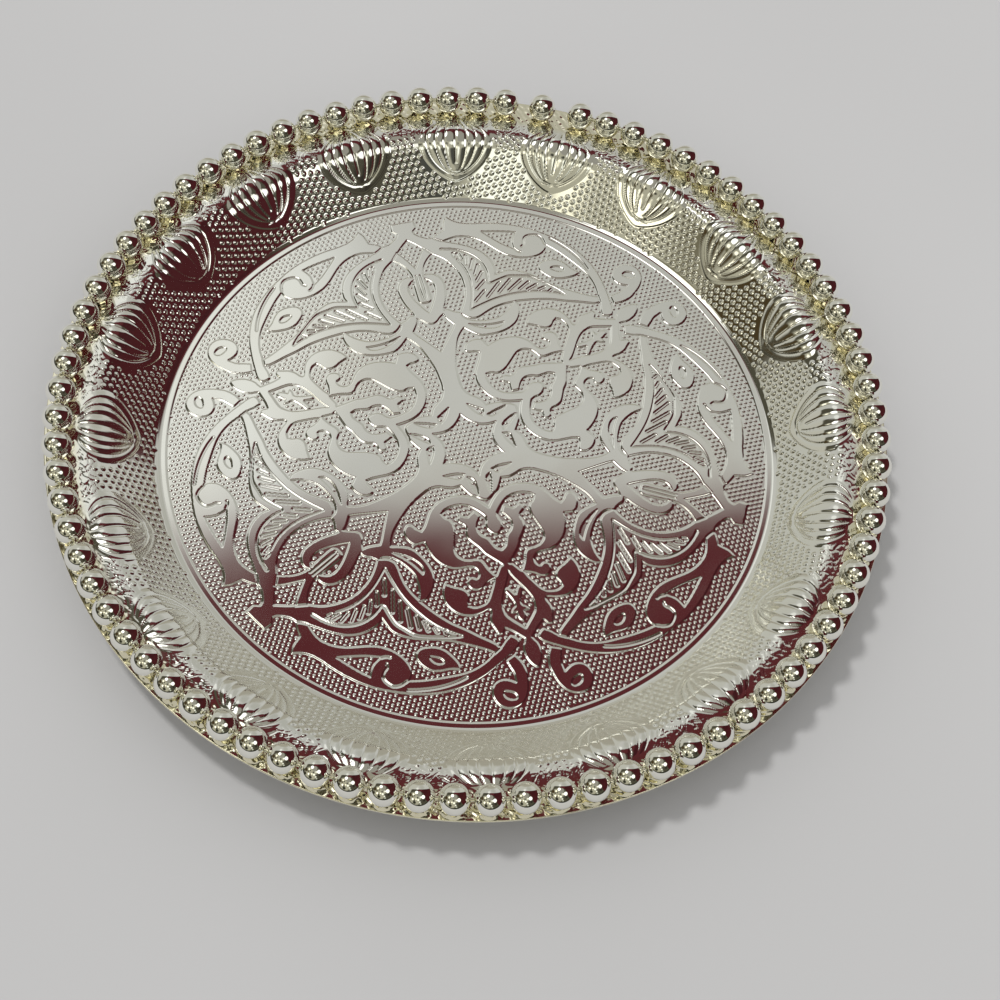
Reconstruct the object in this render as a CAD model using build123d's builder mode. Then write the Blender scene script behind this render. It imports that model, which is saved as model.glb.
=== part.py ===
from build123d import *
from math import asin, cos, degrees, radians, sin, sqrt, tan
import os

# A round stamped offering plate with a border of hollow balls threaded on a wire.
os.makedirs("parts", exist_ok=True)

# Sizes are in millimetres. The origin is the middle of the underside.
# +Z is up, and +Y points to the side with the closing ball.

# Tray, stamped from one sheet
sheet_thickness = 0.8
floor_radius = 84.5  # flat floor, up to the foot of the wall
well_depth = 13.1  # flange top above floor top
wall_slope = 40.5  # degrees from level
foot_radius = 5.5  # inside bend from floor to wall
shoulder_radius = 6.6  # outside bend from wall to flange
edge_rounding = 0.25

# Border of balls, standing on the flange
ball_radius = 4.0
ball_wall = 0.4
ball_inset = 5.7  # from the inner edge of the flange to the ring of ball centres
flange_margin = 0.0  # flange edge beyond the outside of the balls
ball_gap = 0.55  # least clear gap between neighbours in the chain
closing_ball_angle = 85.92  # degrees from +X, turning towards +Y
gap_to_chain_start = 3.09  # clear gap beside the closing ball, turning the same way
gap_to_chain_end = 3.71  # clear gap on its other side

# Wire through the balls of the chain
wire_radius = 0.55
wire_clearance = 0.08  # between the bent wire and the edge of a hole in a ball
wire_end_inset = 0.6  # from the outside of each end ball to the cut end of the wire

# Solder between each ball and the flange
solder_gap = 0.1  # from flange top to the lowest point of a ball
solder_neck_radius = 1.3  # where it meets the ball
solder_foot_radius = 1.8  # where it meets the flange

# Radii of the tray's bends and edge, and of the ring of ball centres
wall_foot = floor_radius + foot_radius * tan(radians(wall_slope / 2))
wall_head = wall_foot + well_depth / tan(radians(wall_slope))
flange_inner_radius = wall_head + shoulder_radius * tan(radians(wall_slope / 2))
ball_ring_radius = flange_inner_radius + ball_inset
flange_radius = ball_ring_radius + ball_radius + flange_margin

# Heights
flange_top = sheet_thickness + well_depth
ball_height = flange_top + solder_gap + ball_radius
solder_neck_height = solder_gap + ball_radius - sqrt(ball_radius**2 - solder_neck_radius**2)

# A wire bent to the ring bows sideways by this much within one ball, so the hole is that much larger
wire_bow = ball_radius**2 / (2 * ball_ring_radius)
wire_hole_radius = wire_radius + wire_clearance + wire_bow


def angle_between_balls(clear_gap):
    """Degrees round the ring from one ball to the next, with a clear gap between them."""
    return degrees(2 * asin((2 * ball_radius + clear_gap) / (2 * ball_ring_radius)))


# Directions of the chain's balls, in degrees, as many as the ring has room for
chain_start_angle = closing_ball_angle + angle_between_balls(gap_to_chain_start)
chain_end_angle = closing_ball_angle + 360 - angle_between_balls(gap_to_chain_end)
chain_steps = int((chain_end_angle - chain_start_angle) / angle_between_balls(ball_gap))
chain_pitch = (chain_end_angle - chain_start_angle) / chain_steps
chain_angles = [chain_start_angle + chain_pitch * step for step in range(chain_steps + 1)]
all_ball_angles = [closing_ball_angle] + chain_angles


def ring_places(angles, height):
    """Places on the ring of balls at a height, with local Y along the ring."""
    return [
        Location((ball_ring_radius * cos(radians(a)), ball_ring_radius * sin(radians(a)), height), (0, 0, a))
        for a in angles
    ]


# Tray: the upper line runs along floor, wall and flange, and the sheet lies below it
with BuildPart() as tray_body:
    with BuildSketch(Plane.XZ):
        with BuildLine():
            FilletPolyline(
                (0, sheet_thickness),
                (wall_foot, sheet_thickness),
                (wall_head, flange_top),
                (flange_radius, flange_top),
                radius=[foot_radius, shoulder_radius],
            )
            offset(amount=sheet_thickness, side=Side.RIGHT)
        make_face()
    revolve(axis=Axis.Z)
    flange_edges = tray_body.edges().filter_by(GeomType.CIRCLE).sort_by(SortBy.RADIUS)[-2:]
    fillet(flange_edges, radius=min(edge_rounding, 0.4 * sheet_thickness))
tray_body.part.label = "tray_body"

# One ball: a hollow shell turned about local Y, open at both ends for the wire
with BuildPart() as one_ball:
    with BuildSketch():
        Circle(ball_radius)
        Circle(ball_radius - ball_wall, mode=Mode.SUBTRACT)
        with Locations((wire_hole_radius, 0)):
            Rectangle(ball_radius, 2 * ball_radius, align=(Align.MIN, Align.CENTER), mode=Mode.INTERSECT)
    revolve(axis=Axis.Y)

# Chain balls, evenly spaced round the ring from one end of the wire to the other
with BuildPart() as border_balls:
    with Locations(*ring_places(chain_angles, ball_height)):
        add(one_ball.part)
border_balls.part.label = "border_balls"

# Closing ball: the same ball set by itself, with no wire, in the gap where the chain's ends meet
with BuildPart() as closing_ball:
    with Locations(*ring_places([closing_ball_angle], ball_height)):
        add(one_ball.part)
closing_ball.part.label = "closing_ball"

# Wire: an arc through the chain, which ends inside the last hole of each end ball
wire_reach_angle = degrees((ball_radius - wire_end_inset) / ball_ring_radius)
wire_start_angle = chain_start_angle - wire_reach_angle
wire_sweep = chain_end_angle - chain_start_angle + 2 * wire_reach_angle
with BuildPart() as border_wire:
    with BuildSketch(Plane.XZ.rotated((0, 0, wire_start_angle))):
        with Locations((ball_ring_radius, ball_height)):
            Circle(wire_radius)
    revolve(axis=Axis.Z, revolution_arc=wire_sweep)
border_wire.part.label = "border_wire"

# Solder: a flared dab under every ball, hollowed on top to the ball's own curve
with BuildPart() as ball_solder:
    with Locations(*ring_places(all_ball_angles, flange_top)):
        Cone(
            solder_foot_radius,
            solder_neck_radius,
            solder_neck_height,
            align=(Align.CENTER, Align.CENTER, Align.MIN),
        )
    with Locations(*ring_places(all_ball_angles, ball_height)):
        Sphere(ball_radius, mode=Mode.SUBTRACT)
ball_solder.part.label = "ball_solder"

for piece in (tray_body, border_balls, closing_ball, border_wire, ball_solder):
    export_step(piece.part, f"parts/{piece.part.label}.step")
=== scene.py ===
import bpy
import numpy as np
from math import asin, atan2, cos, degrees, hypot, pi, radians, sin
from mathutils import Matrix, Vector


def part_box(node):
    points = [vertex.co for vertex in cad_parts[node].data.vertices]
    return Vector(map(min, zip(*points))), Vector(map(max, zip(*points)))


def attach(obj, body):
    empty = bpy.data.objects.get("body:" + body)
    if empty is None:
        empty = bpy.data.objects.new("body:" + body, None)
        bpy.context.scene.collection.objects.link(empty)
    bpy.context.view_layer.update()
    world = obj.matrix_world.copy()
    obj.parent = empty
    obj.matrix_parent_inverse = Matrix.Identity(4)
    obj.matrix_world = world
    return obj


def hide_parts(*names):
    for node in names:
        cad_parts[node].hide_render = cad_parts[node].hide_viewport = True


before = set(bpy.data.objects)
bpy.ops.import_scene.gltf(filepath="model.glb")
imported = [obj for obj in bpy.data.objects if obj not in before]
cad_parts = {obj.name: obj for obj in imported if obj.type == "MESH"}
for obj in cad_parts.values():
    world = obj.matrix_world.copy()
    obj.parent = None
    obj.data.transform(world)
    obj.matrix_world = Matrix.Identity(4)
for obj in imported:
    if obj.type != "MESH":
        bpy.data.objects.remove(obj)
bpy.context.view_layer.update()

mm = 0.001  # shapes are worked out in millimetres and put in the meshes in metres

# Sizes that several pieces share, some of them taken from the frame
trayLow, trayHigh = [np.array(corner)/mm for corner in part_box("tray_body")]
ballLow, ballHigh = [np.array(corner)/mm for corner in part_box("closing_ball")]
ballMiddle = (ballLow+ballHigh)/2
ballRadius = 4.0
tray = {
    "sheet": 0.8,  # thickness
    "edge": min(trayHigh[0], trayHigh[1], -trayLow[0], -trayLow[1]),  # outer radius of the flange
    "flangeTop": trayHigh[2],
    "floorTop": 0.8,
    "floorEnd": 84.5,  # where the floor starts to turn up into the wall
    "footBend": 2.5,  # radius of the upper line's bend from floor to wall
    "shoulderBend": 10.0,  # and from wall to flange
    "slope": radians(43),  # of the wall, from level
    "edgeRounding": 0.25,
}
border = {
    "radius": ballRadius,
    "wall": 0.4,
    "ring": min(hypot(ballMiddle[0], ballMiddle[1]), tray["edge"]-ballRadius),
    "height": ballMiddle[2],
    "closingAngle": degrees(atan2(ballMiddle[1], ballMiddle[0])),
    "gapAfter": 3.09,  # clear gap from the closing ball to the chain's first ball
    "gapBefore": 3.71,  # and from the chain's last ball to the closing ball
    "chainCount": 79,
    "hole": 0.703,  # radius of the holes for the wire
}


def makeMesh(name, points, faces, slotName, nodes, normals=None):
    # points in millimetres; faces all have the same number of corners
    mesh = bpy.data.meshes.new(name)
    mesh.vertices.add(len(points))
    mesh.vertices.foreach_set("co", (points*mm).astype(np.float32).ravel())
    mesh.loops.add(faces.size)
    mesh.loops.foreach_set("vertex_index", faces.astype(np.int32).ravel())
    mesh.polygons.add(len(faces))
    mesh.polygons.foreach_set("loop_start", np.arange(0, faces.size, faces.shape[1], dtype=np.int32))
    mesh.update(calc_edges=True)
    mesh.shade_smooth()
    if normals is not None:
        mesh.normals_split_custom_set_from_vertices(normals.tolist())
    piece = bpy.data.objects.new(name, mesh)
    bpy.context.scene.collection.objects.link(piece)
    piece.data.materials.append(finishes[slotName])
    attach(piece, "root")
    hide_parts(*nodes)


def gridFaces(rows, columns, closed=False):
    # quads of a grid numbered row by row; closed joins the last column to the first
    r, c = np.meshgrid(np.arange(rows-1), np.arange(columns if closed else columns-1), indexing="ij")
    a = (r*columns+c).ravel()
    b = (r*columns+(c+1) % columns).ravel()
    return np.stack([a, b, b+columns, a+columns], axis=1)


def smoothRise(x):
    # 0 below 0, 1 above 1, and 3x^2-2x^3 between
    x = np.clip(x, 0, 1)
    return x*x*(3-2*x)


def smoothStep(distance, width):
    # a smooth rise over the width, half way up where the distance is 0
    return smoothRise(distance/width+0.5)


# Camera: over the front of the plate, turned a little
cameraSettings = {
    "place": (0.01051, -0.25544, 0.42225),
    "right": (0.99163, 0.11233, 0.06364),
    "up": (-0.12911, 0.86277, 0.48883),
    "lens": 63.78,
    "sensor": 36,
    "nearest": 0.01,
}
cameraData = bpy.data.cameras.new("camera")
cameraData.lens = cameraSettings["lens"]
cameraData.sensor_width = cameraSettings["sensor"]
cameraData.clip_start = cameraSettings["nearest"]
camera = bpy.data.objects.new("camera", cameraData)
bpy.context.scene.collection.objects.link(camera)
right = Vector(cameraSettings["right"]).normalized()
up = Vector(cameraSettings["up"]).normalized()
back = right.cross(up).normalized()
up = back.cross(right)
axes = Matrix((right, up, back)).transposed().to_4x4()
camera.matrix_world = Matrix.Translation(cameraSettings["place"]) @ axes
bpy.context.scene.camera = camera
bpy.context.scene.view_settings.view_transform = "Standard"
print("camera")


def newMaterial(name):
    material = bpy.data.materials.new(name)
    material.use_nodes = True
    tree = material.node_tree
    tree.nodes.clear()
    output = tree.nodes.new("ShaderNodeOutputMaterial")
    shader = tree.nodes.new("ShaderNodeBsdfPrincipled")
    tree.links.new(shader.outputs["BSDF"], output.inputs["Surface"])
    return material, tree, shader


def mixColours(tree, share, low, high):
    # colour that runs from low to high with the share; low is a colour or another node's output
    mix = tree.nodes.new("ShaderNodeMix")
    mix.data_type = "RGBA"
    if isinstance(low, tuple):
        mix.inputs["A"].default_value = (*low, 1)
    else:
        tree.links.new(low, mix.inputs["A"])
    mix.inputs["B"].default_value = (*high, 1)
    tree.links.new(share, mix.inputs["Factor"])
    return mix.outputs["Result"]


def smoothShare(tree, value, low, high):
    # 0 below low, 1 above high, and 3x^2-2x^3 between
    share = tree.nodes.new("ShaderNodeMapRange")
    share.interpolation_type = "SMOOTHSTEP"
    share.inputs["From Min"].default_value = low
    share.inputs["From Max"].default_value = high
    tree.links.new(value, share.inputs["Value"])
    return share.outputs["Result"]


noiseSpread = {"low": 0.35, "high": 0.65}  # the noise runs from end to end between these values


def noiseOn(tree, scale, detail, low, high):
    # object-space noise, spread from low to high
    place = tree.nodes.new("ShaderNodeTexCoord")
    noise = tree.nodes.new("ShaderNodeTexNoise")
    noise.inputs["Scale"].default_value = scale
    noise.inputs["Detail"].default_value = detail
    spread = tree.nodes.new("ShaderNodeMapRange")
    spread.inputs["From Min"].default_value = noiseSpread["low"]
    spread.inputs["From Max"].default_value = noiseSpread["high"]
    spread.inputs["To Min"].default_value = low
    spread.inputs["To Max"].default_value = high
    tree.links.new(place.outputs["Object"], noise.inputs["Vector"])
    tree.links.new(noise.outputs["Fac"], spread.inputs["Value"])
    return spread.outputs["Result"]


def silver(name, settings):
    # polished silver plate: colour drifts between two tones, and roughness drifts on half that scale. From
    # a given distance off the plate's axis the tone turns golden: a painted reflection of the balls, wire
    # and solder round the ball feet.
    material, tree, shader = newMaterial(name)
    shader.inputs["Metallic"].default_value = 1
    patches = noiseOn(tree, settings["toneScale"], detail=3, low=0, high=1)
    tone = mixColours(tree, patches, settings["clean"], settings["warm"])
    place = tree.nodes.new("ShaderNodeTexCoord")
    flat = tree.nodes.new("ShaderNodeVectorMath")
    flat.operation = "MULTIPLY"
    flat.inputs[1].default_value = (1, 1, 0)
    tree.links.new(place.outputs["Object"], flat.inputs[0])
    distance = tree.nodes.new("ShaderNodeVectorMath")
    distance.operation = "LENGTH"
    tree.links.new(flat.outputs["Vector"], distance.inputs[0])
    # past this radius the golden tone is a painted reflection of the balls, wire and solder
    paintedReflectionShare = smoothShare(tree, distance.outputs["Value"], settings["paintedReflectionFrom"]*mm, settings["paintedReflectionFull"]*mm)
    tree.links.new(mixColours(tree, paintedReflectionShare, tone, settings["paintedReflectionGold"]), shader.inputs["Base Color"])
    smooth, dull = settings["smooth"], settings["dull"]
    drift = noiseOn(tree, settings["toneScale"]*2, detail=2, low=smooth, high=dull)
    tree.links.new(drift, shader.inputs["Roughness"])
    return material


# each finish's golden tone and the radii where it comes in are a painted reflection of the balls, wire and
# solder
finishSettings = {
    "tray": {
        "clean": (0.93, 0.93, 0.895), "warm": (0.915, 0.905, 0.85), "toneScale": 25,
        "smooth": 0.05, "dull": 0.09,
        "paintedReflectionGold": (0.93, 0.885, 0.71), "paintedReflectionFrom": 104, "paintedReflectionFull": 107,
    },
    "balls": {
        "clean": (0.94, 0.935, 0.88), "warm": (0.93, 0.92, 0.84), "toneScale": 90,
        "smooth": 0.02, "dull": 0.05,
        "paintedReflectionGold": (0.94, 0.93, 0.86), "paintedReflectionFrom": 112, "paintedReflectionFull": 114,
    },
    "wire": {
        "clean": (0.92, 0.9, 0.8), "warm": (0.88, 0.85, 0.66), "toneScale": 200,
        "smooth": 0.08, "dull": 0.16,
        "paintedReflectionGold": (0.88, 0.84, 0.64), "paintedReflectionFrom": 109, "paintedReflectionFull": 111,
    },
    "solder": {
        "clean": (0.88, 0.86, 0.7), "warm": (0.84, 0.79, 0.54), "toneScale": 300,
        "smooth": 0.1, "dull": 0.22,
        "paintedReflectionGold": (0.86, 0.8, 0.56), "paintedReflectionFrom": 108, "paintedReflectionFull": 112,
    },
}
finishes = {slotName: silver(slotName, settings) for slotName, settings in finishSettings.items()}
print("materials")

# Medallion of the floor: three knobs and three flowers, mirrored six times.
# The figures stand level with the plain rim of the floor. These are the sunk, pebbled grounds between
# them, in millimetres, the first number across a knob's axis and the second along it. A third number marks
# a sharp corner.
grounds = {
    "outer": [
        (-3, 78.7, 1), (0, 78.8), (2.3, 78.7), (3.5, 78.9, 1), (3.6, 76.3, 1), (2.3, 75.1, 1),
        (2.8, 73.9), (4.3, 72.6), (6, 71.6), (7.9, 71.3, 1), (8.5, 72), (9.8, 72.7), (11.4, 73.4, 1),
        (11.8, 75), (12.3, 76.6), (13.5, 78.3, 1), (14.3, 77.2), (15.6, 76), (17.4, 75), (20, 74.2),
        (24, 73.5), (28, 72.5), (32, 71), (36, 69), (40, 66.2), (43.6, 63.2), (46.6, 60), (49.1, 56.4),
        (51.1, 51.9), (52.3, 47), (52.7, 42), (52.7, 38), (52.5, 34.4), (51.9, 33, 1), (50.6, 31.7, 1),
        (52.4, 31.25, 1), (53.2, 32.6), (54.5, 33.9), (56.2, 34.8), (58.4, 35.2), (60.3, 34.9, 1),
        (58.8, 32.4, 1), (62, 28, 1), (110, 30, 1), (110, 110, 1), (-3, 110, 1),
    ],
    "veil": [
        (52.4, 33.4, 1), (51.3, 32.95), (50.2, 33.1), (49.2, 33.6, 1), (49.4, 35.4), (49.8, 37.2),
        (49.9, 38.1, 1), (48.4, 38, 1), (46.8, 38.5), (43.5, 39.7), (40, 40.8), (36, 42.3), (32, 43.2),
        (28.5, 43.7), (25.5, 44, 1), (26.1, 42.6), (25.9, 40.8), (25.1, 38.7), (23.7, 36.8), (21.6, 35.4),
        (18.6, 34.5), (15.6, 34.3), (12.9, 34.6), (10.6, 36.1), (8.5, 38.2, 1), (7.2, 36.9), (5.8, 34.9),
        (4.7, 32.2), (3.9, 29.6), (3.1, 26.6), (2.7, 23.6), (2.6, 20.4), (2.9, 18), (3.9, 16),
        (5.4, 14.7), (6.9, 13.3), (7.9, 11.2, 1), (9.8, 11.3), (12, 11.2), (13.3, 10.5), (14.8, 10),
        (15.9, 9.2), (16.6, 8, 1), (17.6, 8.2, 1), (18.15, 10.45, 1), (16.3, 10.7), (14.3, 11.1),
        (12.5, 11.8), (10.6, 13.1), (9, 15), (7.9, 17.6), (7.5, 20.2), (8, 22.8), (9.2, 25.1),
        (10.3, 27.1), (10.9, 28.9, 1), (9.7, 29.5), (8.1, 29.7), (7, 30.3), (7.2, 31.6), (8.2, 32.7),
        (9.6, 33.3), (11.2, 33.4), (12.5, 32.9), (13.1, 31.7), (13.7, 30.5, 1), (15, 31.1), (17.2, 31.8),
        (19.6, 32.1), (22, 31.8), (24, 30.9), (25.5, 29.6), (26.5, 28.1), (27.5, 26.7), (28.9, 26.1),
        (30.3, 26.4), (31.2, 27.3), (31.3, 28.3), (30.4, 28.8), (30, 29.5), (30.2, 30.5), (31.1, 31.1),
        (32.4, 31.2), (33.6, 30.4), (34, 29), (33.8, 27), (34.2, 24.4, 1), (35.5, 26), (36.7, 28),
        (37.8, 30), (38.2, 31.4), (37.9, 32.9), (37, 34.6), (35.5, 35.5, 1), (34.4, 34.6), (33.4, 33.3),
        (32, 32.9), (30.6, 33.3), (29.2, 34.2), (27.9, 34.9), (26.5, 35.5, 1), (27.4, 36.9), (28.8, 38.2),
        (30.4, 39.1), (32.4, 39.4), (34.6, 39.1), (36.6, 38.1), (38.1, 36.6), (39.1, 34.4), (39.6, 32.4),
        (40.2, 32), (41, 32.5), (42, 33.7), (43.5, 34.7), (45.2, 35.1), (46.7, 35.5, 1), (47.2, 34.7),
        (46.9, 33.8), (46.4, 33, 1), (48.4, 32.2), (50.4, 31.7), (52.4, 31.25, 1), (53.3, 32.5, 1),
        (53.2, 33.8, 1),
    ],
    "leaf ground": [
        (49.9, 40, 1), (50.1, 43), (49.7, 46.4), (48.6, 49.6), (46.9, 52.6), (44.4, 56.4), (42.2, 59.4),
        (39.9, 62, 1), (39.6, 60.8), (38.6, 59.6), (37.2, 58.8), (35.2, 58.4), (33, 58.5), (30.4, 59.2),
        (27.8, 60.6), (25.8, 62.4), (23.8, 64.8), (22, 66.9), (20, 68.6), (17.5, 69.9), (14.8, 70.5),
        (12.2, 70.2), (10.1, 69.7, 1), (12.2, 68.7), (15, 67.4), (17.4, 66), (19.6, 64.3), (21.4, 62),
        (22.4, 59.6), (22.8, 57.2), (22.7, 55.8), (22.2, 54.4, 1), (24.4, 54.8), (26.4, 55.1),
        (28.3, 54.7), (30.2, 53.8), (32.2, 52.5), (34.4, 50.5), (37, 47.9), (40, 45.5), (43, 43.6),
        (46, 41.8), (48.3, 40.6),
    ],
    "window": [
        (32.4, 68.2, 1), (30.4, 68.9), (27, 69.8), (22.2, 70.8, 1), (23.6, 69), (25.3, 67), (27.4, 64.7),
        (30.3, 62.2, 1), (30.4, 64), (30.6, 65.4), (31.4, 66.9),
    ],
    "arch side": [
        (5.9, 66, 1), (4.1, 64.3), (2.7, 62.4), (1.8, 60.2), (1.5, 58.4, 1), (3, 58.9), (4.7, 58.4),
        (6.1, 57), (6.8, 55), (6.7, 52.6), (6.1, 50), (5.3, 47.8), (4.6, 46.3), (4.4, 45.3, 1),
        (5.6, 45.3), (7.2, 44.2), (8.9, 43.5, 1), (9.9, 45), (11.2, 47.4), (12.1, 50), (12.5, 52.6),
        (12.5, 55.2), (11.9, 58.1), (10.6, 61), (8.8, 63.6),
    ],
    "apex": [
        (0, 72.4, 1), (2, 70.5), (4.1, 68.2, 1), (3, 66.8), (1.7, 64.6), (0, 61.5, 1), (-1.7, 64.6),
        (-4.1, 68.2, 1), (-2, 70.5),
    ],
    "bud": [
        (1.55, 57.7, 1), (2.7, 56.9), (3.7, 55.6), (3.9, 53.6), (3.2, 51), (2, 48.5), (0.9, 46.6),
        (0, 45.3, 1), (-0.9, 46.6), (-0.9, 49.2, 1), (1.2, 49.25), (1.8, 50.2), (1.85, 53), (1.8, 55.6),
    ],
    "notch": [
        (0, 31.4, 1), (2.6, 34.8), (5.4, 38.5), (6.2, 39.8, 1), (5.2, 41.3), (4.4, 42.7), (3.9, 44.2, 1),
        (2.7, 43.3), (1.3, 42), (0, 41.5), (-1.3, 42), (-3.9, 44.2, 1), (-6.2, 39.8, 1), (-2.6, 34.8),
    ],
    "pod strip": [
        (25.2, 43.9, 1), (22, 43.8), (19, 43.2), (16.4, 42.2), (14.3, 41.2), (12.5, 40.8), (10.8, 41.4),
        (9, 43.2, 1), (9.4, 41.8), (10.8, 40.5), (13, 39.6), (16, 39.2), (19, 39.35), (21.4, 40.4),
        (23.5, 41.9),
    ],
    "pod slit": [
        (20.5, 37.7, 1), (17.2, 37.65), (14, 38.05), (10.1, 39.1, 1), (12.4, 37.6), (15, 36.5),
        (17.6, 36.1), (19.6, 36.6),
    ],
    "wave": [
        (33.4, 24, 1), (31, 23.9), (28.4, 23.5), (27.2, 24.1), (26.1, 25.7), (24.7, 26.8), (22.8, 27.2),
        (20.9, 26.4), (18.8, 24.3), (16.8, 22.3), (15.2, 21.3), (13.7, 21), (12.3, 21.5), (10.6, 21.4, 1),
        (10.35, 19.8), (10.8, 17.8), (11.9, 15.8), (13.6, 14.3), (15.8, 13.5), (18, 13.1), (19.4, 13.1),
        (20.5, 13.8), (21.5, 14.9), (23, 15.4), (24.4, 15.2), (25.4, 14.7, 1), (25.2, 13.4),
        (27, 11.6, 1), (28.6, 14.4), (29.7, 17.15, 1), (28.2, 17.75), (26.4, 17.6), (24.7, 17.4),
        (23.2, 17.9), (21.6, 17.9), (20.3, 17.3), (19.2, 16), (18.3, 14.2, 1), (16.3, 14.1, 1),
        (16.3, 15.6), (16.3, 16.9), (15.4, 17.5), (14.5, 18.1), (14.8, 19), (15.7, 19.5), (17.1, 19.1),
        (18.4, 19.4), (19.4, 20.4), (20.9, 21.2), (22.8, 21.2), (25.2, 21), (27.2, 21.15), (29.2, 20.8),
        (31.2, 20.4), (33.2, 20.1, 1), (33, 21, 1), (33.7, 22.4), (34.4, 23.8, 1),
    ],
    "frame": [
        (50.5, 29.1, 1), (48.5, 29.55), (46.4, 30), (44.4, 30.2), (42.6, 29.6), (41, 28.5), (39.3, 26.4),
        (37.6, 23.6), (36.3, 21.6), (35.1, 20.3, 1), (37.5, 19.8), (41, 19.6), (45, 20.4), (47.9, 22.2),
        (49.5, 25.5),
    ],
    "star": [
        (0, 9.95, 1), (0.7, 8.8), (1.8, 7.5), (3.4, 6.2), (5.2, 5.4), (7.2, 5.15), (9.15, 5.3, 1),
        (8.3, 3.6), (7.4, 0.8), (7, -3, 1), (-7, -3, 1), (-3.4, 6.2), (-1.8, 7.5), (-0.7, 8.8),
    ],
    "petal slit": [
        (2.6, 12.8, 1), (4.6, 11.5), (6.5, 10.2, 1), (6.6, 9.2), (6.1, 8, 1), (4.7, 9.2), (3.6, 10.8),
    ],
    "petal cut": [
        (13.6, 10, 1), (11.5, 9.5), (9.2, 8.8), (7.2, 8, 1), (8.7, 7.3), (10.8, 7.9), (12.5, 9),
    ],
}
islands = {
    "curl": [
        (53.5, 39.4, 1), (55.4, 39.95), (57.4, 40.5), (59.6, 42, 1), (57.9, 42.8), (56.6, 44),
        (56.05, 46), (56.9, 48), (58.9, 49.3), (61.2, 49.5), (63.3, 48.4), (64.4, 46.3), (64.4, 43.9),
        (63.2, 41.5), (61.2, 39.4), (58.9, 37.7), (56.3, 36.8), (53.8, 36.7, 1),
    ],
    "eye leaf": [
        (47, 49.7, 1), (45, 51.6), (43.6, 53.8), (42, 55.4), (39.8, 56.1), (37.4, 56), (35.9, 54.9),
        (35.7, 53.2), (36.8, 51.4), (38.3, 49.9), (40.4, 49), (42.8, 48.8), (45.2, 49),
    ],
    "sprig": [
        (48.5, 28, 1), (47.3, 28.2), (46.3, 27.8), (45.4, 27.3, 1), (44.7, 28.6, 1), (44.2, 27.6),
        (44, 26.4), (42.5, 25.7), (40.6, 25.4), (39, 25.2), (38.7, 24.5), (39.3, 24.05, 1),
        (41.4, 24.1, 1), (42.5, 23.4, 1), (46.5, 25.8, 1),
    ],
}
eyes = {
    "leaf eye": [(42.6, 51.6), (42.1, 52.8), (40.6, 53.5), (38.9, 53.1), (39.8, 52.1), (41.4, 51.3)],
    "curl eye": [(62.8, 45), (61.9, 46.4), (60.4, 46.9), (59.1, 46.2), (60, 45), (61.6, 44.3)],
}
grooves = {
    "scroll": (0.55, [
        (39.8, 62.2), (39.5, 64.1), (38.5, 65.6), (36.5, 66.2), (34.7, 65.9), (33.8, 64.6), (33.4, 63.2),
        (32.6, 62.6),
    ]),
    "scroll neck": (0.55, [(30.4, 62.4), (31, 61.4), (31.9, 60.7)]),
    "stalk": (0.7, [(41.8, 63.7), (43.7, 61.6), (45.9, 58.7), (47.7, 55.6), (49, 52.5), (49.6, 50.3)]),
    "upper rim": (0.6, [
        (8.9, 66.9), (11.5, 66.3), (14.2, 65.2), (16.6, 63.5), (18.5, 61.3), (19.7, 58.7), (20.1, 56),
        (19.9, 53.6), (19.6, 52.1), (20.3, 51.7),
    ]),
    "lower rim": (0.6, [
        (40.4, 43), (38.8, 45.1), (36.5, 47.5), (34, 50), (31.6, 51.7), (28.6, 52.5), (26.1, 53),
        (23.6, 52.6), (20.3, 51.7),
    ]),
    "lower vein": (0.4, [
        (40.3, 43), (36, 45), (32, 46.1), (28, 46.5), (24, 46.5), (20, 46), (16, 45), (12.2, 43.8),
    ]),
    "spine": (0.35, [(12.7, 62.2), (14.2, 58.2), (14.6, 54), (14, 49.5), (12.1, 43.9)]),
    "sprig foot": (0.4, [(7.9, 71.2), (8.9, 70.4), (10.1, 69.7)]),
    "leaf tip": (0.4, [(49.9, 37.9), (49.9, 40.2)]),
    "arch foot": (0.4, [(4, 68.4), (6, 65.9)]),
    "stem": (0.35, [(0.55, 59), (0.6, 54.5), (0.4, 50)]),
}
hatches = [
    ((12.2, 64.5), (12.4, 63.5)), ((13.5, 64.1), (13.9, 61.9)), ((15.5, 62.9), (15, 60)),
    ((17.3, 61), (15.8, 58)), ((18.3, 58.8), (16.6, 55.7)), ((18.7, 56), (16.6, 53.4)),
    ((18.6, 52.8), (15.8, 50.4)), ((17.7, 49.3), (14.4, 46.4)), ((22.8, 51.3), (18.2, 47)),
    ((26.2, 51.6), (21.9, 47.9)), ((29.3, 50.8), (24.9, 47.9)), ((31.2, 49.5), (28, 47.6)),
    ((33.2, 48.1), (30.3, 47)), ((35.2, 46.7), (33.6, 46.3)), ((37.4, 45.6), (36.4, 45)),
]

medallion = {
    "knobAxis": radians(-8.2),  # direction of the first of the three knobs
    "rows": 404,
    "depth": 0.16,  # of the sunk grounds below the figures
    "step": 0.24,  # width of the slope between them
    "fieldEnd": 83.2,  # the pebbled ground ends here in a fine step
    "margin": 1.2,  # greatest distance from an outline that is worked out
    "pebblePitch": 1.475,
    "pebbleRadius": 0.45,
    "pebbleHeight": 0.15,
    "pebbleClear": 0.42,  # distance from a figure at which a pebble has half its height
    "pebbleFade": 0.15,  # and the width over which it grows
    "grooveShare": 0.8,  # depth of a groove as a share of the grounds'
    "hatchWidth": 1.05,
    "ridgeShare": 0.7,  # height of the ridge along a hatch as a share of a pebble's
    "ridgeHalf": 0.45,  # half its width
}
tiny = 1e-12  # keeps divisors off 0
blockSize = 3000000  # most distances worked out at once


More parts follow.
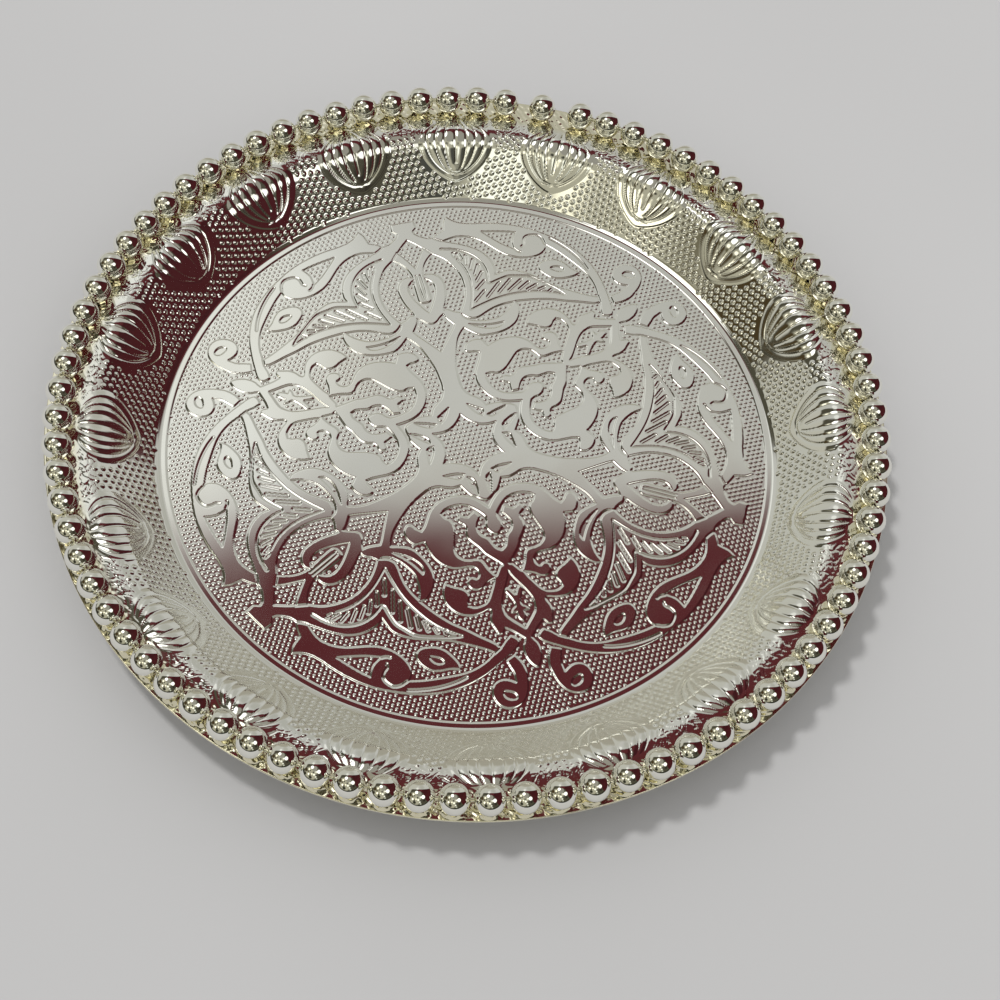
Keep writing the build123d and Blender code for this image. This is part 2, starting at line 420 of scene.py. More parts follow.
def smoothLine(points, closed, steps=7):
    # each stretch is a cubic that leaves a point along the line between its neighbours; a corner is left
    # straight
    place = np.array([point[:2] for point in points], float)
    sharp = np.array([len(point) > 2 for point in points])
    count = len(place)
    if not closed:
        sharp[[0, -1]] = True
    slope = (np.roll(place, -1, 0)-np.roll(place, 1, 0))/2
    slope = slope/np.maximum(np.linalg.norm(slope, axis=1, keepdims=True), tiny)
    here = np.arange(count if closed else count-1)
    there = (here+1) % count
    gap = place[there]-place[here]
    size = np.linalg.norm(gap, axis=1, keepdims=True)
    leave = np.where(sharp[here][:, None], gap, slope[here]*size)
    arrive = np.where(sharp[there][:, None], gap, slope[there]*size)
    t = (np.arange(steps)/steps)[None, :, None]
    line = (2*t**3-3*t**2+1)*place[here][:, None]+(t**3-2*t**2+t)*leave[:, None]
    line = line+(3*t**2-2*t**3)*place[there][:, None]+(t**3-t**2)*arrive[:, None]
    line = line.reshape(-1, 2)
    return line if closed else np.vstack([line, place[-1]])


def lineDistance(points, line, closed):
    # distance from each point to the line and, for a closed one, negative outside it
    ends = np.roll(line, -1, 0) if closed else line[1:]
    starts = line if closed else line[:-1]
    along = ends-starts
    length = np.maximum((along**2).sum(1), tiny)
    result = np.empty(len(points))
    block = max(1, blockSize//len(starts))
    for first in range(0, len(points), block):
        part = points[first:first+block, None, :]
        t = np.clip(((part-starts)*along).sum(2)/length, 0, 1)
        away = part-starts-t[..., None]*along
        distance = np.sqrt((away**2).sum(2).min(1))
        if closed:
            spans = (starts[:, 1] > part[..., 1]) != (ends[:, 1] > part[..., 1])
            rise = np.where(along[:, 1] == 0, tiny, along[:, 1])
            cross = starts[:, 0]+(part[..., 1]-starts[:, 1])*along[:, 0]/rise
            inside = (spans & (part[..., 0] < cross)).sum(1) % 2 == 1
            distance = np.where(inside, distance, -distance)
        result[first:first+block] = distance
    return result


def nearDistance(points, line, closed):
    # as lineDistance, but only worked out near the line's own box; elsewhere it is the margin
    margin = medallion["margin"]
    low, high = line.min(0)-margin, line.max(0)+margin
    near = ((points > low) & (points < high)).all(1)
    result = np.full(len(points), -margin if closed else margin)
    if near.any():
        result[near] = lineDistance(points[near], line, closed)
    return result


def groundDistance(points):
    # distance inside the sunk ground, negative on the figures: the greatest of the outlines' distances, no
    # greater than that to any island or to the field's end
    ground = np.full(len(points), -medallion["margin"])
    for outline in grounds.values():
        ground = np.maximum(ground, nearDistance(points, smoothLine(outline, True), True))
    for outline in islands.values():
        ground = np.minimum(ground, -nearDistance(points, smoothLine(outline, True), True))
    ground = np.minimum(ground, medallion["fieldEnd"]-np.hypot(points[:, 0], points[:, 1]))
    return ground


def foldToWedge(points):
    # mirrors a point just past either side of the 60 degree wedge back into it
    radius = np.hypot(points[:, 0], points[:, 1])
    angle = np.abs(np.arctan2(points[:, 0], points[:, 1]))
    angle = np.where(angle > pi/3, 2*pi/3-angle, angle)
    return np.stack([radius*np.sin(angle), radius*np.cos(angle)], axis=1)


def latticeNearest(points, pitch):
    # row and column of the nearest place of a triangular lattice whose rows lie across the knobs' axes
    rowGap = pitch*3**0.5/2
    row = np.round((points[:, 1]-rowGap/3)/rowGap)
    shift = np.where(row % 2 == 0, 0.5, 0)
    return row, np.round(points[:, 0]/pitch-shift)


def latticePlace(row, column, pitch):
    # rows lie pitch*sqrt(3)/2 apart, and every other one is shifted by half a pitch
    rowGap = pitch*3**0.5/2
    shift = np.where(row % 2 == 0, 0.5, 0)
    return np.stack([(column+shift)*pitch, rowGap/3+rowGap*row], axis=1)


def medallionHeight(points):
    # 0 on the figures and less on the grounds; domes of height h*(1+cos(pi*d/r))/2 stand on the grounds.
    # Grooves, eyes and hatches are smooth steps down, and a smooth ridge runs along each hatch.
    setting = medallion
    step, pitch = setting["step"], setting["pebblePitch"]
    height = -setting["depth"]*smoothStep(groundDistance(points), step)

    rowAndColumn = np.stack(latticeNearest(points, pitch), axis=1)
    keys, which = np.unique(rowAndColumn, axis=0, return_inverse=True)
    which = which.ravel()
    middles = latticePlace(keys[:, 0], keys[:, 1], pitch)
    clear = groundDistance(foldToWedge(middles))
    full = smoothStep(clear-setting["pebbleClear"], setting["pebbleFade"])
    away = np.hypot(points[:, 0]-middles[which, 0], points[:, 1]-middles[which, 1])
    dome = (1+np.cos(pi*np.clip(away/setting["pebbleRadius"], 0, 1)))/2
    height = height+setting["pebbleHeight"]*dome*full[which]

    for width, path in grooves.values():
        away = nearDistance(points, smoothLine(path, False), False)
        cut = -setting["grooveShare"]*setting["depth"]*smoothStep(width/2-away, step)
        height = np.minimum(height, cut)
    for outline in eyes.values():
        eye = nearDistance(points, smoothLine(outline, True), True)
        height = np.minimum(height, -setting["depth"]*smoothStep(eye, step))
    for start, end in hatches:
        away = nearDistance(points, np.array([start, end], float), False)
        cut = -setting["depth"]*smoothStep(setting["hatchWidth"]/2-away, step)
        ridge = setting["pebbleHeight"]*setting["ridgeShare"]*smoothRise(1-away/setting["ridgeHalf"])
        height = np.where(away < setting["hatchWidth"]/2+step, np.minimum(height, cut+ridge), height)
    return height


def wedgePoints(rows, reach):
    # row k holds k+1 points on an arc of radius reach*k/rows, over 60 degrees
    k = np.repeat(np.arange(rows+1), np.arange(1, rows+2))
    first = k*(k+1)//2
    j = np.arange(len(k))-first
    angle = np.where(k > 0, j/np.maximum(k, 1), 0)*pi/3
    radius = reach*k/rows
    return k, j, angle, radius


def wedgeFaces(rows):
    # triangles between neighbouring rows, pointing in and pointing out
    k = np.repeat(np.arange(rows), np.arange(1, rows+1))
    j = np.arange(len(k))-k*(k+1)//2
    here = k*(k+1)//2+j
    below = (k+1)*(k+2)//2+j
    outward = np.stack([here, below, below+1], axis=1)
    inner = j < k
    inward = np.stack([here[inner], below[inner]+1, here[inner]+1], axis=1)
    return np.vstack([outward, inward])


def meshNormals(points, faces):
    # each point's normal is the sum of its faces' normals
    a, b, c = points[faces[:, 0]], points[faces[:, 1]], points[faces[:, 2]]
    cross = np.cross(b-a, c-a)
    total = np.zeros_like(points)
    for corner in range(3):
        for axis in range(3):
            total[:, axis] += np.bincount(faces[:, corner], cross[:, axis], minlength=len(points))
    return total/np.linalg.norm(total, axis=1, keepdims=True)


def floorWedge(name, height, turn, mirrored):
    # one sixth of the floor; its normals lie in the mirror planes at its two sides and stand upright along
    # its outer edge, so that it meets its neighbours unseen
    rows = medallion["rows"]
    k, j, angle, radius = wedgePoints(rows, tray["floorEnd"])
    sign = -1 if mirrored else 1
    world = turn+sign*angle
    points = np.stack([radius*np.cos(world), radius*np.sin(world), tray["floorTop"]+height], axis=1)
    faces = wedgeFaces(rows)
    if mirrored:
        faces = faces[:, ::-1]
    normals = meshNormals(points, faces)
    for side in (j == 0, j == k):
        across = np.stack([-np.sin(world[side]), np.cos(world[side]), 0*world[side]], axis=1)
        normals[side] -= (normals[side]*across).sum(1, keepdims=True)*across
    normals[0] = (0, 0, 1)
    normals[k == rows] = (0, 0, 1)
    normals = normals/np.linalg.norm(normals, axis=1, keepdims=True)
    makeMesh(name, points, faces, "tray", ["tray_body"], normals)


angle, radius = wedgePoints(medallion["rows"], tray["floorEnd"])[2:]
wedgeHeight = medallionHeight(np.stack([radius*np.sin(angle), radius*np.cos(angle)], axis=1))
for third in range(3):
    turn = medallion["knobAxis"]+third*2*pi/3
    for mirrored in (False, True):
        floorWedge(f"floor_sixth_{2*third+int(mirrored)+1}", wedgeHeight, turn, mirrored)
print("floor")

# Wall: the upper line of the sheet from the floor's edge over the shoulder to the flange
wall = {
    "parts": 5,
    "rows": 128,
    "columns": 430,  # in each part
    "end": 113.6,
    "depth": 0.12,  # of the sunk pebbled ground
    "groundStart": 85.7,  # radius where it begins
    "groundFall": 0.4,  # width of the step there
    "groundEnd": 100.6,
    "groundRise": 1.2,
    "figureStep": 0.4,  # width of the step round a palmette
    "pebblePitch": 2.17,
    "pebbleRadius": 0.75,
    "pebbleTop": 0.35,  # radius of a pebble's flat top
    "pebbleHeight": 0.2,
    "pebbleClear": 0.65,  # least distance from a pebble's middle to a palmette
    "pebbleAfter": 0.5,  # pebbles begin this far after the ground does
    "pebbleBeyond": 0.6,  # and end this far beyond it
    "lineRadius": 99,  # at this radius the worm lines and waves measure lengths round the ring
    "wormStart": 100.2,
    "wormEnd": 105.6,
    "wormFade": 0.8,  # width over which the worm lines come and go
    "wormHalf": 0.45,  # value of their waves at which a line ends
    "wormClear": 0.5,  # width over which they fade towards a palmette
    "wormDepth": 0.08,
    "waveStart": 105.6,  # from here the flange is uneven between the balls
    "waveRise": 1.2,
    "waveEnd": 113.2,
    "waveFall": 0.6,
    "waveHeight": 0.06,
    "rippleShare": 0.5,
}
# bent waves: (a, b), bend and (c, d) in sin(a*x+b*y+bend*sin(c*x+d*y))
wormWaves = [((2.1, 0), 1.9, (0.7, 1.3)), ((0, 2.4), 1.7, (1.1, -0.6))]
flangeWaves = [((1.7, 0), 1.2, (0, 0.9)), ((0, 2.3), 0.8, (1.4, 0))]
ripple = ((3.1, -2.6), 0, (0, 0))
palmette = {
    "count": 20,
    "axis": radians(9.7),
    "middle": 98.5,  # radius where it is widest
    "reach": 8.8,
    "halfWidth": radians(6.35),
    "power": 0.7,
    "slantStep": 0.05,  # a line's slant is measured this far to both sides
    "edgeRise": 0.8,  # width over which the relief starts inside the outline
    "ribMiddle": 98.8,
    "ribReach": 7.5,
    "ribPower": 0.6,
    "ribWidth": 0.46,
    "ribDepth": 0.13,
    "ribStep": 0.26,  # width of a rib's sides
    "ribStart": 0.5,  # length over which a rib begins
    "ribEnd": 1.5,  # and over which it ends
    "ribTaper": 6,  # length over which it narrows
    "ribNarrow": 0.45,  # share of its width that it loses there
    "ribFar": 9.0,  # distance to a rib where there is none
    "petal": 0.09,  # rise of each petal between its ribs
    "petalWidth": 1.3,  # distance from a rib at which it is reached
    "petalLow": 0.3,  # share of the rise at the palmette's foot
    "petalFrom": 94.5,  # radius where it starts to grow
    "petalUntil": 101.5,  # radius where it starts to fall again
    "petalLoss": 0.6,  # share that it loses
    "petalLength": 4,  # length over which it grows and falls
    "dome": 0.35,  # rise of the whole palmette
    "domeWidth": 6,  # distance from its edge at which it is reached
}
# sideways place of each rib at its widest, in degrees, and the radii where it starts and ends
ribs = [(0, 93.4, 105.6), (1.9, 92.2, 105.4), (3.5, 91.9, 104.6), (5.05, 91.0, 105.0)]


def wallStraight():
    # length of the straight stretch: the height that the bends leave it, over the sine of the slope
    slope = tray["slope"]
    rise = tray["flangeTop"]-tray["floorTop"]
    return (rise-(tray["footBend"]+tray["shoulderBend"])*(1-cos(slope)))/sin(slope)


def profileAt(length):
    # radius, height and lean of the sheet's upper line at a length from the floor's edge: foot bend,
    # straight wall, shoulder bend, flat flange. A bend of radius b at lean a has gone b*sin(a) out and
    # b*(1-cos(a)) up
    slope, foot, shoulder = tray["slope"], tray["footBend"], tray["shoulderBend"]
    straight = wallStraight()
    footLength = foot*slope
    wallLength = footLength+straight
    bentLength = wallLength+shoulder*slope
    lean = np.maximum((bentLength-length)/shoulder, 0)
    lean = np.where(length < footLength, length/foot, np.where(length < wallLength, slope, lean))
    lean = np.maximum(lean, 0)
    wallRadius = tray["floorEnd"]+foot*sin(slope)
    wallHeight = tray["floorTop"]+foot*(1-cos(slope))
    flangeRadius = wallRadius+straight*cos(slope)+shoulder*sin(slope)
    stretches = [length < footLength, length < wallLength, length < bentLength]
    radii = [tray["floorEnd"]+foot*np.sin(lean), wallRadius+(length-footLength)*cos(slope),
             flangeRadius-shoulder*np.sin(lean)]
    heights = [tray["floorTop"]+foot*(1-np.cos(lean)), wallHeight+(length-footLength)*sin(slope),
               tray["flangeTop"]-shoulder*(1-np.cos(lean))]
    radius = np.select(stretches, radii, flangeRadius+length-bentLength)
    return radius, np.select(stretches, heights, tray["flangeTop"]), lean


def lengthTo(radius):
    # length along the line to a radius on the flange
    slope, bends = tray["slope"], tray["footBend"]+tray["shoulderBend"]
    straight = wallStraight()
    shoulderEnd = tray["floorEnd"]+bends*sin(slope)+straight*cos(slope)
    return bends*slope+straight+radius-shoulderEnd


def lens(radius, middle, reach, power):
    # (1-((r-middle)/reach)^2)^power, widest at the middle and closed at both ends
    return np.maximum(1-((radius-middle)/reach)**2, 0)**power


def acrossPalmette(turn):
    # angle from the nearest palmette's axis
    step = 2*pi/palmette["count"]
    return (turn-palmette["axis"]+step/2) % step-step/2


def insideLine(line, radius, side):
    # distance to a line that lies at angle line(r): difference in angle, times the radius, over
    # sqrt(1+slant^2), where the slant is the radius times the line's rate of change
    small = palmette["slantStep"]
    slant = radius*(line(radius+small)-line(radius-small))/(2*small)
    return (line(radius)-np.abs(side))*radius/np.sqrt(1+slant**2)


def palmetteDistance(radius, turn):
    # distance inside the palmette's outline, whose half width is a lens
    def half(r):
        return palmette["halfWidth"]*lens(r, palmette["middle"], palmette["reach"], palmette["power"])
    across = insideLine(half, radius, acrossPalmette(turn))
    return np.minimum(across, palmette["reach"]-np.abs(radius-palmette["middle"]))


def ribCut(radius, turn):
    # ribs are lines at a share of a lens; returns how much they cut and the distance to the nearest
    side = acrossPalmette(turn)
    cut, nearest = np.zeros_like(radius), np.full_like(radius, palmette["ribFar"])
    for place, start, end in ribs:
        def line(r):
            share = lens(r, palmette["ribMiddle"], palmette["ribReach"], palmette["ribPower"])
            return radians(place)*share
        away = np.abs(insideLine(line, radius, side))
        present = smoothRise((radius-start)/palmette["ribStart"])
        present = present*smoothRise((end-radius)/palmette["ribEnd"])
        narrow = palmette["ribNarrow"]
        width = palmette["ribWidth"]*(1-narrow+narrow*smoothRise((end-radius)/palmette["ribTaper"]))
        cut = np.maximum(cut, smoothStep(width/2-away, palmette["ribStep"])*present)
        nearest = np.minimum(nearest, np.where(present > 0, away, palmette["ribFar"]))
    return cut, nearest


def wallPebbles(length, turn):
    # flat-topped pebbles, clear of the palmettes, on the floor's lattice as if the wall were laid out flat
    setting = wall
    pitch, axis = setting["pebblePitch"], medallion["knobAxis"]
    flat = tray["floorEnd"]+length
    points = np.stack([flat*np.sin(turn-axis), flat*np.cos(turn-axis)], axis=1)
    middle = latticePlace(*latticeNearest(points, pitch), pitch)
    middleTurn = np.arctan2(middle[:, 0], middle[:, 1])+axis
    middleRadius = profileAt(np.hypot(middle[:, 0], middle[:, 1])-tray["floorEnd"])[0]
    present = -palmetteDistance(middleRadius, middleTurn) > setting["pebbleClear"]
    present &= middleRadius > setting["groundStart"]+setting["pebbleAfter"]
    present &= middleRadius < setting["groundEnd"]+setting["pebbleBeyond"]
    away = np.hypot(points[:, 0]-middle[:, 0], points[:, 1]-middle[:, 1])
    side = setting["pebbleRadius"]-setting["pebbleTop"]
    return setting["pebbleHeight"]*smoothRise((setting["pebbleRadius"]-away)/side)*present


def bentWave(x, y, wave):
    # sin(a*x+b*y+bend*sin(c*x+d*y))
    (a, b), bend, (c, d) = wave
    return np.sin(a*x+b*y+bend*np.sin(c*x+d*y))


def wallRelief(length, radius, turn):
    # sunk pebbled ground between the palmettes; on them petals that rise away from the ribs, and a dome;
    # above, worm lines where the sum of two bent waves is near 0; on the flange, the product of two bent
    # waves and a share of a ripple. Every part is faded by smooth rises
    setting = wall
    inside = palmetteDistance(radius, turn)
    band = smoothRise((radius-setting["groundStart"])/setting["groundFall"])
    band = band*smoothRise((setting["groundEnd"]-radius)/setting["groundRise"])
    height = -setting["depth"]*band*smoothStep(-inside, setting["figureStep"])
    height = height+wallPebbles(length, turn)

    cut, nearest = ribCut(radius, turn)
    onPalmette = smoothRise(inside/palmette["edgeRise"])
    gain = smoothRise((radius-palmette["petalFrom"])/palmette["petalLength"])
    loss = smoothRise((radius-palmette["petalUntil"])/palmette["petalLength"])
    petal = palmette["petal"]*(palmette["petalLow"]+(1-palmette["petalLow"])*gain)
    petal = petal*(1-palmette["petalLoss"]*loss)
    height = height+petal*smoothRise(np.minimum(nearest, inside)/palmette["petalWidth"])*onPalmette
    height = height+palmette["dome"]*smoothRise(inside/palmette["domeWidth"])
    height = height-palmette["ribDepth"]*cut*onPalmette

    x, y = turn*setting["lineRadius"], length
    worm = bentWave(x, y, wormWaves[0])+bentWave(x, y, wormWaves[1])
    band = smoothRise((radius-setting["wormStart"])/setting["wormFade"])
    band = band*smoothRise((setting["wormEnd"]-radius)/setting["wormFade"])
    line = smoothRise(1-np.abs(worm)/setting["wormHalf"])
    height = height-setting["wormDepth"]*line*band*smoothRise(-inside/setting["wormClear"])

    wave = bentWave(x, y, flangeWaves[0])*bentWave(x, y, flangeWaves[1])
    wave = wave+setting["rippleShare"]*bentWave(x, y, ripple)
    rise = smoothRise((radius-setting["waveStart"])/setting["waveRise"])
    fall = smoothRise((setting["waveEnd"]-radius)/setting["waveFall"])
    return height+setting["waveHeight"]*wave*rise*fall


def wallGrid():
    # the whole ring at once, so that its normals agree where the parts meet; each point stands off the
    # sheet's upper line by the relief, square to the line
    lengths = np.linspace(0, lengthTo(wall["end"]), wall["rows"])
    count = wall["parts"]*wall["columns"]
    turns = palmette["axis"]+pi/palmette["count"]+np.arange(count)*2*pi/count
    length, turn = np.meshgrid(lengths, turns, indexing="ij")
    radius, height, lean = profileAt(length)
    raised = wallRelief(length.ravel(), radius.ravel(), turn.ravel()).reshape(length.shape)
    radius = radius-raised*np.sin(lean)
    height = height+raised*np.cos(lean)
    points = np.stack([radius*np.cos(turn), radius*np.sin(turn), height], axis=-1)
    along = np.gradient(points, axis=0)
    around = np.roll(points, -1, 1)-np.roll(points, 1, 1)
    normals = np.cross(along, around)
    normals[0] = (0, 0, 1)
    normals[-1] = (0, 0, 1)
    return points, normals/np.linalg.norm(normals, axis=2, keepdims=True)


points, normals = wallGrid()
for part in range(wall["parts"]):
    columns = (np.arange(wall["columns"]+1)+part*wall["columns"]) % points.shape[1]
    faces = gridFaces(wall["rows"], wall["columns"]+1)[:, ::-1]
    makeMesh(f"wall_part_{part+1}", points[:, columns].reshape(-1, 3), faces, "tray", ["tray_body"],
             normals[:, columns].reshape(-1, 3))
print("wall")

# Rest of the sheet: flange, rounded edge and underside, turned as one
sheet = {"flangeSteps": 3, "roundingSteps": 9, "wallSteps": 50, "floorSteps": 30, "around": 480}


def turned(line, around):
    # a line of pairs, radius and height, turned about the upright axis
    turns = np.arange(around)*2*pi/around
    x, y = np.outer(line[:, 0], np.cos(turns)), np.outer(line[:, 0], np.sin(turns))
    return np.stack([x, y, np.repeat(line[:, 1:], around, axis=1)], axis=-1).reshape(-1, 3)


def sheetLine():
    # flange top, edge rounding by eighths, then the underside back to the middle: the upper line moved
    # square to itself by the sheet's thickness
    rounding, edge, top = tray["edgeRounding"], tray["edge"], tray["flangeTop"]
    quarter = np.linspace(0, pi/2, sheet["roundingSteps"])
    flat = np.linspace(wall["end"], edge-rounding, sheet["flangeSteps"])
    line = [np.stack([flat, 0*flat+top], 1)]
    out, up = rounding*np.sin(quarter), rounding*np.cos(quarter)
    line.append(np.stack([edge-rounding+out, top-rounding+up], 1))
    low = top-tray["sheet"]
    line.append(np.stack([edge-rounding+up, low+rounding-out], 1))
    lengths = np.linspace(lengthTo(edge-rounding), 0, sheet["wallSteps"])
    radius, height, lean = profileAt(lengths)
    line.append(np.stack([radius+tray["sheet"]*np.sin(lean), height-tray["sheet"]*np.cos(lean)], 1))
    inner = np.linspace(tray["floorEnd"], 0, sheet["floorSteps"])[1:]
    line.append(np.stack([inner, 0*inner], 1))
    return np.vstack(line)


line = sheetLine()
points = turned(line, sheet["around"])
faces = gridFaces(len(line), sheet["around"], closed=True)[:, ::-1]
makeMesh("flange_and_underside", points, faces, "tray", ["tray_body"])
print("sheet")


# Border of balls
ball = {"outerSteps": 25, "innerSteps": 9, "around": 32}


def gapAngle(clearGap):
    # degrees round the ring between two balls with a clear gap between them: twice the arcsine of their
    # middles' distance over the ring's diameter
    return degrees(2*asin((2*border["radius"]+clearGap)/(2*border["ring"])))


chainStart = border["closingAngle"]+gapAngle(border["gapAfter"])
chainEnd = border["closingAngle"]+360-gapAngle(border["gapBefore"])
chainTurns = np.radians(np.linspace(chainStart, chainEnd, border["chainCount"]))
closingTurn = radians(border["closingAngle"])


def ballLine():
    # outside of the ball from one hole to the other, then back along the inside
    radius, hole = border["radius"], border["hole"]
    start = asin(hole/radius)
    outer = np.linspace(start, pi-start, ball["outerSteps"])
    inside = radius-border["wall"]
    lip = asin(hole/inside)
    inner = np.linspace(pi-lip, lip, ball["innerSteps"])
    outerLine = np.stack([radius*np.sin(outer), -radius*np.cos(outer)], 1)
    innerLine = np.stack([inside*np.sin(inner), -inside*np.cos(inner)], 1)
    return np.vstack([outerLine, innerLine, outerLine[:1]])


def roundRing(one, oneFaces, turns):
    # copies of one shape, which lies about the ring's line, turned to each direction
    x, y = one[:, 0][None]+border["ring"], one[:, 1][None]
    cosine, sine = np.cos(turns)[:, None], np.sin(turns)[:, None]
    height = np.repeat(one[None, :, 2], len(turns), 0)
    points = np.stack([x*cosine-y*sine, x*sine+y*cosine, height], axis=-1)
    faces = oneFaces[None]+(np.arange(len(turns))*len(one))[:, None, None]
    return points.reshape(-1, 3), faces.reshape(-1, 4)


def ballsAt(name, turns, node):
    # each ball is turned about the tangent of the ring
    line = ballLine()
    one = turned(line, ball["around"])[:, [0, 2, 1]]
    one[:, 2] += border["height"]
    points, faces = roundRing(one, gridFaces(len(line), ball["around"], closed=True), turns)
    makeMesh(name, points, faces, "balls", [node])


ballsAt("chain_balls", chainTurns, "border_balls")
ballsAt("lone_ball", np.array([closingTurn]), "closing_ball")
print("balls")

# Wire through the chain
wire = {"radius": 0.55, "inset": 0.6, "around": 12, "perBall": 16}


def wireAlong():
    # a round wire bent to the ring, from inside the first ball to inside the last
    reachTurn = (border["radius"]-wire["inset"])/border["ring"]
    count = wire["perBall"]*border["chainCount"]
    turn = np.linspace(chainTurns[0]-reachTurn, chainTurns[-1]+reachTurn, count)
    roll = np.arange(wire["around"])*2*pi/wire["around"]
    turn, roll = np.meshgrid(turn, roll, indexing="ij")
    radius = border["ring"]+wire["radius"]*np.cos(roll)
    height = border["height"]+wire["radius"]*np.sin(roll)
    points = np.stack([radius*np.cos(turn), radius*np.sin(turn), height], axis=-1).reshape(-1, 3)
    faces = gridFaces(count, wire["around"], closed=True)
    makeMesh("ring_wire", points, faces, "wire", ["border_wire"])


wireAlong()
print("wire")

# Solder under each ball
solder = {"neck": 1.3, "foot": 1.8, "around": 20, "rows": 6}


def solderDabs():
    # a flared dab: radius foot+(neck-foot)*t^0.5 as t climbs from the flange to the ball
    t = np.linspace(0, 1, solder["rows"])
    radius = solder["foot"]+(solder["neck"]-solder["foot"])*t**0.5
    bottom = tray["flangeTop"]
    top = border["height"]-(border["radius"]**2-solder["neck"]**2)**0.5
    one = turned(np.stack([radius, bottom+(top-bottom)*t], axis=1), solder["around"])
    turns = np.concatenate([chainTurns, [closingTurn]])
    points, faces = roundRing(one, gridFaces(solder["rows"], solder["around"], closed=True), turns)
    makeMesh("solder_dabs", points, faces, "solder", ["ball_solder"])


solderDabs()
print("solder")

# Floor of the studio
stage = {
    "size": 3.0,
    "tone": (0.58, 0.575, 0.57),
    "darker": (0.545, 0.54, 0.535),
    "patchScale": 3,
    "roughness": 0.9,
}
stageMesh = bpy.data.meshes.new("table")
half = stage["size"]/2
corners = [(-half, -half, 0), (half, -half, 0), (half, half, 0), (-half, half, 0)]
stageMesh.from_pydata(corners, [], [(0, 1, 2, 3)])
table = bpy.data.objects.new("table", stageMesh)
bpy.context.scene.collection.objects.link(table)
tableMaterial, tree, shader = newMaterial("table")
patches = noiseOn(tree, stage["patchScale"], detail=2, low=0, high=1)
tone = mixColours(tree, patches, stage["tone"], stage["darker"])
tree.links.new(tone, shader.inputs["Base Color"])
shader.inputs["Roughness"].default_value = stage["roughness"]
shader.inputs["Specular IOR Level"].default_value = 0
table.data.materials.append(tableMaterial)

# Light: an even level for diffuse light, and a soft room of broad zones for the metal to show
room = {
    "level": 0.68,
    "base": (0.07, 0.065, 0.045),
    "backdrop": (0.8, 0.8, 0.8),
}
# azimuth and elevation of each zone in degrees, the angles from its middle at which it starts to fade and
# ends, and its colour; later zones lie on top
zones = [
    (235, 42, 38, 50, (0.42, 0.405, 0.31)),
    (160, 13, 13, 20, (0.5, 0.49, 0.42)),
    (188, 30, 7, 14, (0.06, 0.042, 0.018)),
    (206, 41, 3, 9, (0.12, 0.105, 0.06)),
    (246, 20, 7, 13, (0.03, 0.03, 0.02)),
    (258, 60, 3, 7, (0.04, 0.04, 0.03)),
    (212, 56, 2, 6, (0.05, 0.045, 0.03)),
    (238, 33, 3, 7, (0.03, 0.025, 0.015)),
    (204, 14, 5, 11, (0.03, 0.025, 0.015)),
    (292, 40, 3, 9, (0.06, 0.06, 0.05)),
    (318, 30, 4, 10, (0.03, 0.025, 0.02)),
    (192, 52, 4, 8, (1.3, 1.25, 1)),
    (224, 32, 4, 7, (2, 1.9, 1.5)),
    (248, 46, 3, 6, (1.4, 1.35, 1.05)),
    (270, 45, 5, 8, (1.2, 1.22, 1.05)),
    (284, 29, 2, 6, (1.1, 1.12, 1)),
    (300, 62, 3, 8, (1.1, 1.1, 1)),
    (288, 16, 2, 7, (0.6, 0.62, 0.52)),
    (0, -90, 92, 102, (0.02, 0.022, 0.014)),
    (17, 18, 41, 45, (0.06, 0.012, 0.014)),
    (45, 46, 22, 26, (0.05, 0.011, 0.013)),
    (82, 64, 13, 16, (0.095, 0.021, 0.024)),
    (265, 87, 17, 19, (0.3, 0.29, 0.25)),
    (163, 72, 7, 12, (2, 2, 1.9)),
    (330, 53, 9, 15, (1.6, 1.6, 1.5)),
    (97, 10, 50, 52.5, (0.53, 0.53, 0.5)),
    (76, 40, 6, 19, (0.43, 0.43, 0.39)),
    (125, 12, 27, 33, (0.5, 0.5, 0.45)),
    (95, 8, 14, 26, (0.36, 0.345, 0.285)),
    (113, 54, 5, 9.5, (0.8, 0.81, 0.77)),
    (100, -30, 36, 46, (0.36, 0.34, 0.28)),
]


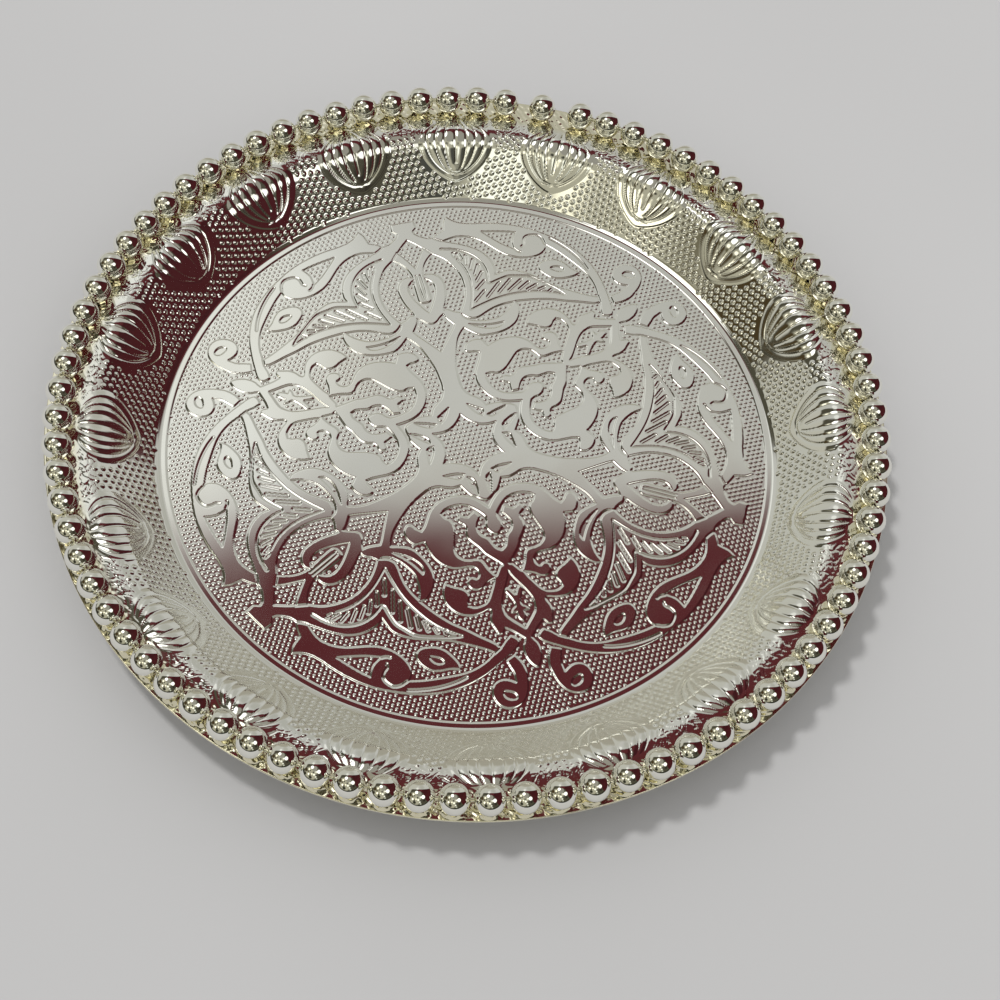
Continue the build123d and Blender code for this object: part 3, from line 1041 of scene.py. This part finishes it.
def buildRoom():
    # a zone's share is a smooth step of the dot product between the ray and the zone's direction
    world = bpy.data.worlds.new("room")
    bpy.context.scene.world = world
    world.use_nodes = True
    tree = world.node_tree
    tree.nodes.clear()
    output = tree.nodes.new("ShaderNodeOutputWorld")
    place = tree.nodes.new("ShaderNodeTexCoord")
    colour = room["base"]
    for azimuth, elevation, inner, outer, zoneColour in zones:
        turn, rise = radians(azimuth), radians(elevation)
        dot = tree.nodes.new("ShaderNodeVectorMath")
        dot.operation = "DOT_PRODUCT"
        dot.inputs[1].default_value = (cos(turn)*cos(rise), sin(turn)*cos(rise), sin(rise))
        tree.links.new(place.outputs["Generated"], dot.inputs[0])
        share = smoothShare(tree, dot.outputs["Value"], cos(radians(outer)), cos(radians(inner)))
        colour = mixColours(tree, share, colour, zoneColour)
    seen = tree.nodes.new("ShaderNodeBackground")
    tree.links.new(colour, seen.inputs["Color"])
    level = tree.nodes.new("ShaderNodeBackground")
    level.inputs["Color"].default_value = (1, 1, 1, 1)
    level.inputs["Strength"].default_value = room["level"]
    backdrop = tree.nodes.new("ShaderNodeBackground")
    backdrop.inputs["Color"].default_value = (*room["backdrop"], 1)
    path = tree.nodes.new("ShaderNodeLightPath")
    either = tree.nodes.new("ShaderNodeMath")
    either.operation = "MAXIMUM"
    tree.links.new(path.outputs["Is Glossy Ray"], either.inputs[0])
    tree.links.new(path.outputs["Is Transmission Ray"], either.inputs[1])
    first = tree.nodes.new("ShaderNodeMixShader")
    tree.links.new(either.outputs["Value"], first.inputs["Fac"])
    tree.links.new(level.outputs["Background"], first.inputs[1])
    tree.links.new(seen.outputs["Background"], first.inputs[2])
    second = tree.nodes.new("ShaderNodeMixShader")
    tree.links.new(path.outputs["Is Camera Ray"], second.inputs["Fac"])
    tree.links.new(first.outputs["Shader"], second.inputs[1])
    tree.links.new(backdrop.outputs["Background"], second.inputs[2])
    tree.links.new(second.outputs["Shader"], output.inputs["Surface"])


buildRoom()
lamp = {"strength": 1.1, "angle": 7, "turn": 150, "rise": 68}
lampData = bpy.data.lights.new("window", "SUN")
lampData.energy = lamp["strength"]
lampData.angle = radians(lamp["angle"])
window = bpy.data.objects.new("window", lampData)
bpy.context.scene.collection.objects.link(window)
turn, rise = radians(lamp["turn"]), radians(lamp["rise"])
toward = Vector((cos(turn)*cos(rise), sin(turn)*cos(rise), sin(rise)))
window.matrix_world = toward.to_track_quat("Z", "Y").to_matrix().to_4x4()
window.visible_glossy = False
print("light")
